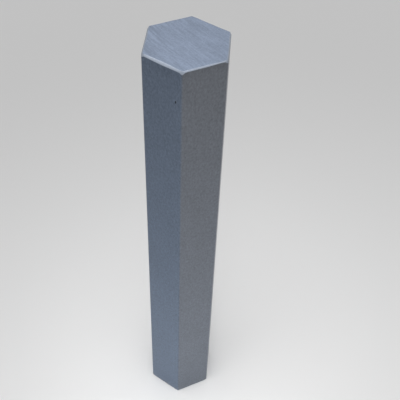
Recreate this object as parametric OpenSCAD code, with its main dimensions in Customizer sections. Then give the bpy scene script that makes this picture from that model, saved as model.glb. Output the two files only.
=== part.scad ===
// Hexagonal bar stock: one drawn steel bar, sawn off square and standing on its foot.
// The axis of the bar is +Z, the foot lies on Z = 0, and two of the six corners point along X.

/* [Section] */
// Width across each pair of flats, the size the bar is sold by
across_flats = 36; // [12:1:75]
// Radius that the drawing die leaves along the six corners
corner_radius = 1; // [0.3:0.1:3]

/* [Length] */
// Length the bar is sawn to
bar_length = 260; // [50:1:1000]

/* [Ends] */
// Width of the broken edge round each sawn end, measured across the end
edge_break = 0.8; // [0.2:0.1:3]
// Slope of the broken edge, measured from the flat it runs into
edge_break_angle = 45; // [20:5:70]

/* [Hidden] */
$fn = 96;

// Number of flats, the turn from one flat to the next, and from a flat to its corner
flats = 6;
flat_turn = 360 / flats;
corner_turn = flat_turn / 2;

half_flats = across_flats / 2;

// Height of the broken edge along the flat
edge_break_rise = edge_break / tan(edge_break_angle);

// The corner arcs reach this far past the flats, which trim them, so that they meet without a sliver
arc_overlap = 0.0005;

// Distance from the axis of the bar to the centre of each corner arc
arc_centre = (half_flats - corner_radius) / cos(corner_turn) + arc_overlap;

// One pair of opposite flats: a plate as thick as the bar is across its flats, with all four end edges broken.
module flat_pair() {
    rotate([90, 0, 0])
        linear_extrude(2 * across_flats, center = true)
            polygon([
                [-half_flats, edge_break_rise],
                [edge_break - half_flats, 0],
                [half_flats - edge_break, 0],
                [half_flats, edge_break_rise],
                [half_flats, bar_length - edge_break_rise],
                [half_flats - edge_break, bar_length],
                [edge_break - half_flats, bar_length],
                [-half_flats, bar_length - edge_break_rise]
            ]);
}

// The sharp corner outside one arc, which the die leaves unfilled, cut past both ends.
module corner_relief() {
    translate([arc_centre, 0, -corner_radius])
        linear_extrude(bar_length + 2 * corner_radius)
            difference() {
                translate([corner_radius * cos(corner_turn), -corner_radius])
                    square([corner_radius, 2 * corner_radius]);
                circle(r = corner_radius);
            }
}

// The whole bar: three pairs of flats crossing at the axis, and the six corners rounded along their length.
module hex_bar() {
    color([0.50, 0.54, 0.60])
        difference() {
            intersection_for (pair = [0 : flats / 2 - 1])
                rotate(corner_turn + pair * flat_turn)
                    flat_pair();
            for (corner = [0 : flats - 1])
                rotate(corner * flat_turn)
                    corner_relief();
        }
}

hex_bar();
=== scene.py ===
import math

import bmesh
import bpy
from mathutils import Matrix, Vector, noise


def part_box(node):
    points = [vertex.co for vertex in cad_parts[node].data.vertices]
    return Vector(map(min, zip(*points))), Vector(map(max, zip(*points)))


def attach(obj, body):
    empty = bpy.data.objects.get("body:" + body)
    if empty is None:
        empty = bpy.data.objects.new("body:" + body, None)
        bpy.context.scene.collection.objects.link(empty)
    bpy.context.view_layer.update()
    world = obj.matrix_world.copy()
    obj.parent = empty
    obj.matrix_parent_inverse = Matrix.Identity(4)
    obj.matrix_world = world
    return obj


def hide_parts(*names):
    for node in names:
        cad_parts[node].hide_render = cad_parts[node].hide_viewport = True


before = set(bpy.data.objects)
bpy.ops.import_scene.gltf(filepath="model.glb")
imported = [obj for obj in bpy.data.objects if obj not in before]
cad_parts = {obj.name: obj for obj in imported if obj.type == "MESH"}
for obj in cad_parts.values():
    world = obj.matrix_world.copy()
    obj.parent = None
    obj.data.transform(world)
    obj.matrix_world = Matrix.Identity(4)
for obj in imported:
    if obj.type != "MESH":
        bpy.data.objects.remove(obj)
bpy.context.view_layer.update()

# Sizes of the bar in metres, and the turn from one flat to the next
MM = 0.001
bar_low, bar_high = (Vector(corner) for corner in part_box("hex_bar"))
ACROSS_FLATS = bar_high.y - bar_low.y
BAR_LENGTH = bar_high.z - bar_low.z
HALF_FLATS = ACROSS_FLATS / 2
FLATS = 6
FLAT_DEGREES = 360 / FLATS
FIRST_FACING = FLAT_DEGREES / 2
FLAT_TURN = 2 * math.pi / FLATS
HALF_TURN = FLAT_TURN / 2
CORNER_RADIUS = 1.0 * MM
CORNER_STEPS = 8
SHARP_REACH = HALF_FLATS / math.cos(HALF_TURN)
ROUND_REACH = (HALF_FLATS - CORNER_RADIUS) / math.cos(HALF_TURN) + CORNER_RADIUS
FLAT_WIDTH = 2 * (HALF_FLATS - CORNER_RADIUS) * math.tan(HALF_TURN)

# Edges that turn more than this stay sharp in the shading
SHARP_ANGLE = math.radians(28)

# Drawn flats: the cuts along the bar, and the narrow strips that carry the die lines
LENGTH_CUTS = 14
END_CUT = 5 * MM
FLAT_STRIPS = 72

# What counts as a level edge, as one that spans a flat, and as a face of the same flat
LEVEL_SLACK = 0.01 * MM
SPAN_SHARE = 0.9
SAME_FACING = 0.99

# Die lines: broad and fine ones, and the strip that is left plain beside a corner
DIE_LINE_DEPTH = 0.005 * MM
DIE_LINE_WIDTH = 0.9 * MM
DIE_LINE_SHARE = 0.35
FINE_LINES = 3.1
FINE_SEED = 5.0
FLAT_SEED = 7.3
PLAIN_STRIP = 0.1 * MM
ON_FLAT = 0.004 * MM

# Painted cool light: the blue tint of each flat, flat by flat from the one that faces 30 degrees: 0 is
# blue and 1 is grey
FLAT_PAINTED_TINT = (0.57, 0.43, 0.29, 0.15, 0.85, 0.71)

# How much greyer the painted cool light tint is at the top than at the foot
PAINTED_TINT_DRIFT = 0.28

# Filed edges round both ends, knocked back at the corners
EDGE_BREAK = 0.75 * MM
EDGE_SOFTNESS = 0.1 * MM
EDGE_STEPS = 2
EDGE_WANDER = 0.25
EDGE_WANDER_LENGTH = 7 * MM
TOP_KNOCK = 0.8 * MM
FOOT_KNOCK = 0.2 * MM
KNOCK_REACH = 0.9 * MM

# Widths of the filed edges, by flat, as shares of the edge break: near the corners, and more in the middle
TOP_FILING = ((0.75, 0.1), (0.85, 0.0), (0.75, 0.1), (0.8, 0.35), (0.65, 0.0), (0.75, 0.0))
FOOT_FILING = ((1.2, 0.0),) * FLATS

# Where a filed edge begins to run into the next one, in flats from its middle, and how fast it does
FILING_MERGE_FROM = 0.4
FILING_MERGE = 5

# Sawn ends: the arcs that the blade leaves, which way they run, and the cuts that carry them
BLADE_RADIUS = 140 * MM
MARK_TURN = math.radians(-76)
MARK_PITCH = 1.5 * MM
MARK_RUN = 9 * MM
MARK_DEPTH = 0.02 * MM
MARK_CUT = 0.22 * MM
CROSS_CUT = 1.6 * MM
CUT_MERGE = 0.02 * MM
END_SEED = 3

# Bands and finer tooth lines among the saw's marks: their shares, and how fast they change along the arcs
BAND_SHARE = 0.6
BAND_CHANGE = 0.5
TOOTH_SHARE = 0.35
TOOTH_CHANGE = 0.8
TOOTH_FINENESS = 2.3
TOOTH_SEED = 9.0

# The side that the blade came in on, where the marks are full, and their strength away from it
ENTRY_FACING = 150
ENTRY_FULL = 3 * MM
ENTRY_FADED = 8.5 * MM
FADED_STRENGTH = 0.12

# Pits: the flat's facing in degrees, then place across, height, half width, half height and depth in mm
PITS = ((210, 7.25, 243.25, 0.36, 0.85, 0.2),)
PIT_ROWS = 10
PIT_CUT = 0.14 * MM

# How far a pit's cuts, its hollow and its scale reach, with its rim at 1, and how steep it is
PIT_CUT_REACH = 2.6
PIT_REACH = 3.0
PIT_SCALE_REACH = 0.9
PIT_STEEPNESS = 1.6

# Material slots of the bar's mesh
DRAWN, SAWN, FILED, PITTED = range(4)

# Colours, as linear red, green and blue
# The blue pair paints cool light onto some flats; the grey pair is the drawn steel's own colour
COOL_LIT_DARK = (0.106, 0.142, 0.202)
COOL_LIT_PALE = (0.159, 0.213, 0.303)
GREY_DARK = (0.141, 0.151, 0.170)
GREY_PALE = (0.211, 0.226, 0.254)
PIT_DARK = (0.03, 0.033, 0.04)
PIT_PALE = (0.07, 0.075, 0.085)
# The ends' blue cast is a painted cool reflection, over the sawn steel's own tone
END_DARK = (0.222, 0.267, 0.350)
END_PALE = (0.296, 0.353, 0.464)
EDGE_DARK = (0.29, 0.332, 0.403)
EDGE_PALE = (0.385, 0.428, 0.50)

# Grain of the finishes: features to a metre along X, Y and Z
DRAW_LINES = (1300, 1300, 5)
FILM_CLOUDS = (70, 70, 40)
FILM_SPECKS = (1100, 1100, 700)
SAW_SCRATCHES = (120, 1500, 1)
SAW_GRIT = (1300, 1300, 1)
SAW_CLOUDS = (90, 90, 90)
FILE_MARKS = (1800, 1800, 1800)
FILE_WEAR = (160, 160, 160)
PIT_CRUST = (3000, 3000, 3000)
GRAIN_HEIGHT = 0.02 * MM

# Roughness of the finishes
DRAWN_ROUGHNESS = 0.30
SAWN_ROUGHNESS = 0.44
FILED_ROUGHNESS = 0.42
PITTED_ROUGHNESS = 0.7

# The floor and the surroundings
FLOOR_GREY = (0.84, 0.84, 0.84)
FLOOR_ROUGHNESS = 0.7
FLOOR_REACH = 20.0
WORLD_DIM = (0.626, 0.626, 0.626)
WORLD_HORIZON = (0.56, 0.56, 0.56)
WORLD_PALE = (0.885, 0.885, 0.885)
WORLD_RISE = 4.0

# The camera, at the photograph's viewing angle
CAMERA_PLACE = Vector((-0.1059, -0.2283, 0.433))
CAMERA_AIM = Vector((0.009, -0.0002, 0.16))
CAMERA_ROLL = math.radians(2.43)
CAMERA_LENS = 64.3
SENSOR_WIDTH = 36.0

# Round lamps: name, place, aim, width in metres, spread in degrees and watts
LAMPS = (
    ("overhead", Vector((-0.052, -0.05, 0.60)), Vector((-0.005, -0.10, 0.0)), 0.2, 75, 0.233),
    ("front", Vector((-0.16, -0.28, 0.30)), Vector((-0.015, -0.025, 0.0)), 0.12, 30, 0.0145),
)

# Inputs of the Mix node that take its share and its two colours, and the output that gives the colour
MIX_SHARE, MIX_FIRST, MIX_SECOND = 0, 6, 7
MIX_COLOUR = 2


# The bar


def drawn_section(bm):
    """A hexagon on the foot plane, two corners on X, with its corners rounded as the die leaves them."""
    bmesh.ops.create_circle(bm, cap_ends=True, segments=FLATS, radius=SHARP_REACH)
    bmesh.ops.rotate(bm, verts=bm.verts, matrix=Matrix.Rotation(HALF_TURN, 3, "Z"))
    bmesh.ops.bevel(
        bm,
        geom=bm.verts[:],
        offset=CORNER_RADIUS * math.tan(HALF_TURN),
        segments=CORNER_STEPS,
        profile=0.5,
        affect="VERTICES",
        material=-1,
    )


def faces_of(bm, slot):
    return [face for face in bm.faces if face.material_index == slot]


def with_borders(faces):
    """Faces with their edges and corners, as the cutting operators take them."""
    edges = dict.fromkeys(edge for face in faces for edge in face.edges)
    verts = dict.fromkeys(vert for face in faces for vert in face.verts)
    return [*verts, *edges, *faces]


def break_edge(bm, cap):
    """Files the edge round an end off at 45 degrees."""
    inward = -math.copysign(EDGE_BREAK, cap.normal.z)
    ring = bmesh.ops.inset_region(bm, faces=[cap], thickness=EDGE_BREAK, use_even_offset=True)["faces"]
    for face in ring:
        face.material_index = FILED
    rim = {vert for face in ring for vert in face.verts} - set(cap.verts)
    bmesh.ops.translate(bm, verts=list(rim), vec=(0, 0, inward))


def soften_edges(bm):
    """Rounds off both borders of the filed edges."""
    borders = [edge for edge in bm.edges if len({face.material_index for face in edge.link_faces}) == 2]
    softened = bmesh.ops.bevel(
        bm,
        geom=borders,
        offset=EDGE_SOFTNESS,
        segments=EDGE_STEPS,
        profile=0.5,
        affect="EDGES",
        material=-1,
    )
    for face in softened["faces"]:
        face.material_index = FILED


def draw_out(bm):
    """The section drawn out to the bar's length, with its end edges filed off."""
    drawn_section(bm)
    grown = bmesh.ops.extrude_face_region(bm, geom=bm.faces[:])["geom"]
    top = [part for part in grown if isinstance(part, bmesh.types.BMVert)]
    bmesh.ops.translate(bm, verts=top, vec=(0, 0, BAR_LENGTH))
    bmesh.ops.recalc_face_normals(bm, faces=bm.faces)
    for face in bm.faces:
        face.material_index = SAWN if abs(face.normal.z) > 0.5 else DRAWN
    for cap in faces_of(bm, SAWN):
        break_edge(bm, cap)
    soften_edges(bm)
    bm.normal_update()


def cut_across(bm, faces, place, direction):
    bmesh.ops.bisect_plane(bm, geom=with_borders(faces), plane_co=place, plane_no=direction)


def spans_flat(edge):
    """Whether an edge runs level across a whole flat."""
    first, second = (vert.co.z for vert in edge.verts)
    return abs(first - second) < LEVEL_SLACK and edge.calc_length() > SPAN_SHARE * FLAT_WIDTH


def cut_flats(bm):
    """Divides the bar along its length, and each flat into the strips of its die lines."""
    run = BAR_LENGTH - 2 * END_CUT
    for cut in range(LENGTH_CUTS + 1):
        cut_across(bm, faces_of(bm, DRAWN), (0, 0, END_CUT + run * cut / LENGTH_CUTS), (0, 0, 1))
    across = [edge for edge in bm.edges if spans_flat(edge)]
    bmesh.ops.subdivide_edges(bm, edges=across, cuts=FLAT_STRIPS - 1, use_grid_fill=True)


def facing(degrees):
    """The outward direction of a flat and the direction across it."""
    turn = math.radians(degrees)
    return Vector((math.cos(turn), math.sin(turn), 0)), Vector((-math.sin(turn), math.cos(turn), 0))


def flat_facing(flat):
    """Which way a flat faces, in degrees."""
    return FIRST_FACING + FLAT_DEGREES * flat


def flat_number(way):
    """The number of the flat that a direction points to: whole at its middle, half at a corner."""
    return (math.degrees(math.atan2(way.y, way.x)) - FIRST_FACING) / FLAT_DEGREES


def score_die_lines(bm):
    """Sinks the strips of each flat into faint lines along the bar."""
    for flat in range(FLATS):
        outward, across = facing(flat_facing(flat))
        seed = FLAT_SEED * flat
        for vert in bm.verts:
            place = vert.co.dot(across)
            if vert.co.dot(outward) < HALF_FLATS - ON_FLAT or abs(place) > FLAT_WIDTH / 2 - PLAIN_STRIP:
                continue
            broad = noise.noise(Vector((place / DIE_LINE_WIDTH, seed, 0.0)))
            fine = noise.noise(Vector((FINE_LINES * place / DIE_LINE_WIDTH, seed, FINE_SEED)))
            vert.co -= outward * DIE_LINE_DEPTH * (0.5 + DIE_LINE_SHARE * broad + DIE_LINE_SHARE * fine)


class Pit:
    """A pit in a flat, on finer cuts of its own."""

    def __init__(self, degrees, aside, height, half_width, half_height, depth):
        self.outward, self.across = facing(degrees)
        self.centre = self.outward * HALF_FLATS + self.across * aside * MM + Vector((0, 0, height * MM))
        self.half_width = half_width
        self.half_height = half_height
        self.depth = depth

    def near(self, point):
        """How far a point is from the pit's middle, with the pit's rim at 1."""
        away = (point - self.centre) / MM
        return math.hypot(away.dot(self.across) / self.half_width, away.z / self.half_height)

    def faces(self, bm, reach):
        """The faces of the pit's flat that lie within a reach of its middle."""
        flat = [face for face in faces_of(bm, DRAWN) if face.normal.dot(self.outward) > SAME_FACING]
        return [face for face in flat if self.near(face.calc_center_median()) < reach]

    def cut(self, bm):
        """Cuts the flat finely, level all across it and upright near the pit."""
        for step in range(-PIT_ROWS, PIT_ROWS + 1):
            row = self.centre + Vector((0, 0, step * PIT_CUT))
            cut_across(bm, self.faces(bm, math.inf), row, (0, 0, 1))
        for step in range(-PIT_ROWS // 2, PIT_ROWS // 2 + 1):
            column = self.centre + self.across * step * PIT_CUT
            cut_across(bm, self.faces(bm, PIT_CUT_REACH), column, self.across)

    def sink(self, bm):
        """Sinks the hollow and marks the scale in it."""
        self.cut(bm)
        patch = self.faces(bm, PIT_REACH)
        for face in patch:
            if self.near(face.calc_center_median()) < PIT_SCALE_REACH:
                face.material_index = PITTED
        for vert in {vert for face in patch for vert in face.verts}:
            share = math.exp(-PIT_STEEPNESS * self.near(vert.co) ** 2)
            vert.co -= self.outward * self.depth * MM * share


def outline_gap(place):
    """How far a point of the section is inside its outline, and the way out."""
    outward, across = (way.xy for way in facing(flat_facing(round(flat_number(place)))))
    aside = place.dot(across)
    if abs(aside) <= FLAT_WIDTH / 2:
        return HALF_FLATS - place.dot(outward), outward
    centre = outward * (HALF_FLATS - CORNER_RADIUS) + across * math.copysign(FLAT_WIDTH / 2, aside)
    return CORNER_RADIUS - (place - centre).length, (place - centre).normalized()


def end_of(vert):
    """The end that a point is nearer to: 1 is the top and -1 the foot."""
    return 1 if vert.co.z > BAR_LENGTH / 2 else -1


def filing(place, end):
    """How wide an end's edge is filed at a place, as a share of the edge break."""
    shares = TOP_FILING if end > 0 else FOOT_FILING
    number = flat_number(place)
    flat = round(number)
    aside = number - flat
    width, swell = shares[flat % FLATS]
    beyond = shares[(flat + int(math.copysign(1, aside))) % FLATS][0]
    width += (beyond - width) * max(0, FILING_MERGE * abs(aside) - FILING_MERGE * FILING_MERGE_FROM)
    seed = END_SEED * end * EDGE_WANDER_LENGTH
    wave = noise.noise(Vector((place.x, place.y, seed)) / EDGE_WANDER_LENGTH)
    return width + swell * (1 - 4 * aside * aside) + EDGE_WANDER * wave


def file_edges(bm):
    """Varies the width of the hand-filed edges along their run and knocks them back at the six corners."""
    reach = EDGE_BREAK + 2 * EDGE_SOFTNESS
    corners = [ROUND_REACH * facing(FLAT_DEGREES * count)[0].xy for count in range(FLATS)]
    for vert in bm.verts:
        end = end_of(vert)
        depth = BAR_LENGTH - vert.co.z if end > 0 else vert.co.z
        gap, outward = outline_gap(vert.co.xy)
        if depth > reach or gap > reach:
            continue
        width = filing(vert.co.xy, end)
        away = min((vert.co.xy - corner).length for corner in corners)
        knock = (TOP_KNOCK if end > 0 else FOOT_KNOCK) * math.exp(-((away / KNOCK_REACH) ** 2))
        sink = depth * (width - 1) + knock * min(1, depth / EDGE_BREAK)
        vert.co.xy += outward * gap * (1 - width)
        vert.co.z -= end * sink


def blade_marks(place, end):
    """Depth of the saw's marks at a point of an end, about 0.5: arcs, stronger where the blade came in."""
    along = Vector((math.cos(MARK_TURN), math.sin(MARK_TURN)))
    centre = BLADE_RADIUS * Vector((-along.y, along.x)) * end
    ring = ((place - centre).length - BLADE_RADIUS) / MARK_PITCH
    run = place.dot(along) / MARK_RUN
    seed = END_SEED * end
    band = noise.noise(Vector((ring, BAND_CHANGE * run, seed)))
    tooth = noise.noise(Vector((TOOTH_FINENESS * ring, TOOTH_CHANGE * run, TOOTH_SEED + seed)))
    inside = HALF_FLATS - place.dot(facing(ENTRY_FACING)[0].xy)
    entry = min(1, max(0, (ENTRY_FADED - inside) / (ENTRY_FADED - ENTRY_FULL)))
    strength = FADED_STRENGTH + (1 - FADED_STRENGTH) * entry
    return 0.5 + strength * (BAND_SHARE * band + TOOTH_SHARE * tooth)


def cut_ends(bm):
    """Divides both ends along and across the saw's marks."""
    along = Vector((math.cos(MARK_TURN), math.sin(MARK_TURN), 0))
    aside = Vector((-along.y, along.x, 0))
    for direction, spacing in ((along, CROSS_CUT), (aside, MARK_CUT)):
        count = int(SHARP_REACH / spacing)
        geom = with_borders(faces_of(bm, SAWN))
        for step in range(-count, count + 1):
            place = direction * step * spacing
            geom = bmesh.ops.bisect_plane(bm, geom=geom, plane_co=place, plane_no=direction)["geom"]
    sawn = [edge for edge in bm.edges if any(face.material_index == SAWN for face in edge.link_faces)]
    bmesh.ops.dissolve_degenerate(bm, dist=CUT_MERGE, edges=sawn)


def saw_ends(bm):
    """Sinks the saw's marks into both ends."""
    cut_ends(bm)
    marks = bm.verts.layers.float.new("saw_mark")
    for vert in {vert for face in faces_of(bm, SAWN) for vert in face.verts}:
        end = end_of(vert)
        vert[marks] = min(1, max(0, blade_marks(vert.co.xy, end)))
        vert.co.z -= end * MARK_DEPTH * vert[marks]


def paint_light_tint(bm):
    """Marks each flat with its share of painted cool light, which runs round into the next and greys
    upward.
    """
    painted_tint = bm.verts.layers.float.new("painted_tint")
    for vert in bm.verts:
        number = flat_number(outline_gap(vert.co.xy)[1])
        flat = math.floor(number)
        first, second = FLAT_PAINTED_TINT[flat % FLATS], FLAT_PAINTED_TINT[(flat + 1) % FLATS]
        drift = PAINTED_TINT_DRIFT * (vert.co.z / BAR_LENGTH - 0.5)
        vert[painted_tint] = first + (second - first) * (number - flat) + drift


def bar_mesh():
    bm = bmesh.new()
    draw_out(bm)
    cut_flats(bm)
    score_die_lines(bm)
    for pit in PITS:
        Pit(*pit).sink(bm)
    file_edges(bm)
    saw_ends(bm)
    bm.normal_update()
    paint_light_tint(bm)
    for face in bm.faces:
        face.smooth = True
    for edge in bm.edges:
        edge.smooth = edge.calc_face_angle(0) < SHARP_ANGLE
    mesh = bpy.data.meshes.new("hex_bar_steel")
    bm.to_mesh(mesh)
    bm.free()
    return mesh


# Nodes of the finishes


class Wire:
    """An output of a shader node. Sums on wires add the Math nodes that work them out."""

    def __init__(self, nodes, socket):
        self.nodes = nodes
        self.socket = socket

    def math(self, operation, *terms):
        return self.nodes.node("Math", {"operation": operation}, dict(enumerate(terms)))

    def __add__(self, other):
        return self.math("ADD", self, other)

    def __sub__(self, other):
        return self.math("SUBTRACT", self, other)

    def __mul__(self, other):
        return self.math("MULTIPLY", self, other)

    __radd__ = __add__
    __rmul__ = __mul__


class Nodes:
    """The nodes of a material or of the world."""

    def __init__(self, owner):
        owner.use_nodes = True
        self.tree = owner.node_tree
        self.tree.nodes.clear()

    def node(self, kind, settings=None, sockets=None, out=0):
        made = self.tree.nodes.new("ShaderNode" + kind)
        for name, value in (settings or {}).items():
            setattr(made, name, value)
        for name, value in (sockets or {}).items():
            if isinstance(value, Wire):
                self.tree.links.new(value.socket, made.inputs[name])
            else:
                made.inputs[name].default_value = value
        return Wire(self, made.outputs[out]) if made.outputs else None

    def blend(self, share, first, second):
        """A mix of two colours, each a wire or plain red, green and blue."""
        first, second = (mixed if isinstance(mixed, Wire) else (*mixed, 1.0) for mixed in (first, second))
        sockets = {MIX_SHARE: share, MIX_FIRST: first, MIX_SECOND: second}
        return self.node("Mix", {"data_type": "RGBA", "clamp_factor": True}, sockets, out=MIX_COLOUR)


class Finish(Nodes):
    """A material with patterns in the bar's own coordinates."""

    def __init__(self, name):
        self.material = bpy.data.materials.new(name)
        super().__init__(self.material)
        self.place = self.node("TexCoord", out="Object")

    def grain(self, factors, detail=2.0, roughness=0.5, place=None):
        """Noise about 0, from -0.5 to 0.5, with features of 1 over the factors in metres."""
        scaled = self.node("VectorMath", {"operation": "MULTIPLY"}, {0: place or self.place, 1: factors})
        sockets = {"Vector": scaled, "Scale": 1.0, "Detail": detail, "Roughness": roughness}
        return self.node("TexNoise", {}, sockets) - 0.5

    def steel(self, colour, roughness, height, bump):
        normal = self.node("Bump", {}, {"Strength": bump, "Distance": GRAIN_HEIGHT, "Height": height})
        sockets = {"Base Color": colour, "Roughness": roughness, "Metallic": 1.0, "Normal": normal}
        self.node("OutputMaterial", {}, {"Surface": self.node("BsdfPrincipled", {}, sockets)})
        return self.material


# Finishes


def drawn_steel():
    """Cold-drawn flats: dull steel, bluer on some flats with painted cool light, with a fine grain over
    faint lines along the bar.
    """
    finish = Finish("drawn_steel")
    lines = finish.grain(DRAW_LINES, detail=3.0, roughness=0.6)
    clouds = finish.grain(FILM_CLOUDS, detail=3.0)
    specks = finish.grain(FILM_SPECKS, roughness=0.7)
    tone = 0.5 + 0.2 * lines + 0.5 * clouds + 1.9 * specks
    # How much painted cool light each flat carries, from blue at 0 to grey at 1
    tint = finish.node("Attribute", {"attribute_name": "painted_tint"}, out="Fac")
    dark = finish.blend(tint, COOL_LIT_DARK, GREY_DARK)
    pale = finish.blend(tint, COOL_LIT_PALE, GREY_PALE)
    colour = finish.blend(tone, dark, pale)
    roughness = DRAWN_ROUGHNESS + 0.08 * clouds + 0.06 * lines
    return finish.steel(colour, roughness, lines + 0.8 * specks, bump=0.15)


def sawn_steel():
    """Sawn ends: the blade's marks, fine scratches along them and a faint cloud."""
    finish = Finish("sawn_steel")
    turn = {"Vector": finish.place, "Angle": -MARK_TURN}
    turned = finish.node("VectorRotate", {"rotation_type": "Z_AXIS"}, turn)
    scratches = finish.grain(SAW_SCRATCHES, detail=3.0, place=turned)
    grit = finish.grain(SAW_GRIT, roughness=0.6)
    clouds = finish.grain(SAW_CLOUDS, detail=3.0)
    marks = finish.node("Attribute", {"attribute_name": "saw_mark"}, out="Fac") - 0.5
    tone = 0.5 + 2.0 * marks + 1.8 * scratches + 1.6 * grit + 0.8 * clouds
    # The blue cast of these colours is a painted cool reflection
    colour = finish.blend(tone, END_DARK, END_PALE)
    roughness = SAWN_ROUGHNESS + 0.12 * scratches + 0.1 * clouds
    return finish.steel(colour, roughness, scratches + grit, bump=0.2)


def filed_steel():
    """Filed edges: bright, with fine file marks."""
    finish = Finish("filed_steel")
    marks = finish.grain(FILE_MARKS)
    wear = finish.grain(FILE_WEAR)
    colour = finish.blend(0.55 + 0.6 * marks + 0.8 * wear, EDGE_DARK, EDGE_PALE)
    return finish.steel(colour, FILED_ROUGHNESS + 0.2 * marks, marks, bump=0.2)


def pitted_steel():
    """Scale left in a pit: dark and dull."""
    finish = Finish("pitted_steel")
    crust = finish.grain(PIT_CRUST)
    colour = finish.blend(0.5 + crust, PIT_DARK, PIT_PALE)
    return finish.steel(colour, PITTED_ROUGHNESS + 0.2 * crust, crust, bump=0.5)


def build_bar():
    bar = bpy.data.objects.new("hex_bar_steel", bar_mesh())
    bpy.context.scene.collection.objects.link(bar)
    for material in (drawn_steel(), sawn_steel(), filed_steel(), pitted_steel()):
        bar.data.materials.append(material)
    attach(bar, "root")
    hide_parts("hex_bar")


# The studio


def build_floor():
    bm = bmesh.new()
    bmesh.ops.create_grid(bm, x_segments=1, y_segments=1, size=FLOOR_REACH)
    mesh = bpy.data.meshes.new("floor")
    bm.to_mesh(mesh)
    bm.free()
    floor = bpy.data.objects.new("floor", mesh)
    bpy.context.scene.collection.objects.link(floor)
    material = bpy.data.materials.new("floor")
    nodes = Nodes(material)
    sockets = {"Base Color": (*FLOOR_GREY, 1), "Roughness": FLOOR_ROUGHNESS}
    nodes.node("OutputMaterial", {}, {"Surface": nodes.node("BsdfPrincipled", {}, sockets)})
    mesh.materials.append(material)


def place_camera():
    lens = bpy.data.cameras.new("camera")
    lens.lens = CAMERA_LENS
    lens.sensor_width = SENSOR_WIDTH
    camera = bpy.data.objects.new("camera", lens)
    look = (CAMERA_AIM - CAMERA_PLACE).to_track_quat("-Z", "Y").to_matrix()
    turn = look @ Matrix.Rotation(CAMERA_ROLL, 3, "Z")
    camera.matrix_world = Matrix.Translation(CAMERA_PLACE) @ turn.to_4x4()
    bpy.context.scene.collection.objects.link(camera)
    bpy.context.scene.camera = camera


def hang_lamp(name, place, aim, width, spread, watts):
    lamp = bpy.data.lights.new(name, "AREA")
    lamp.shape = "DISK"
    lamp.size = width
    lamp.spread = math.radians(spread)
    lamp.energy = watts
    holder = bpy.data.objects.new(name, lamp)
    holder.location = place
    holder.rotation_euler = (aim - place).to_track_quat("-Z", "Y").to_euler()
    holder.visible_camera = False
    bpy.context.scene.collection.objects.link(holder)


def light_surroundings():
    """Even light, which the camera and the steel see grow pale above a horizon toned as the floor."""
    world = bpy.data.worlds.new("studio")
    nodes = Nodes(world)
    rays = [nodes.node("LightPath", out=f"Is {kind} Ray") for kind in ("Camera", "Glossy", "Transmission")]
    height = nodes.node("SeparateXYZ", {}, {"Vector": nodes.node("TexCoord", out="Generated")}, out="Z")
    backdrop = nodes.blend(WORLD_RISE * height, WORLD_HORIZON, WORLD_PALE)
    colour = nodes.blend(rays[0] + rays[1] + rays[2], WORLD_DIM, backdrop)
    nodes.node("OutputWorld", {}, {"Surface": nodes.node("Background", {}, {"Color": colour})})
    bpy.context.scene.world = world


build_bar()
build_floor()
place_camera()
for lamp in LAMPS:
    hang_lamp(*lamp)
light_surroundings()
bpy.context.scene.view_settings.view_transform = "Standard"
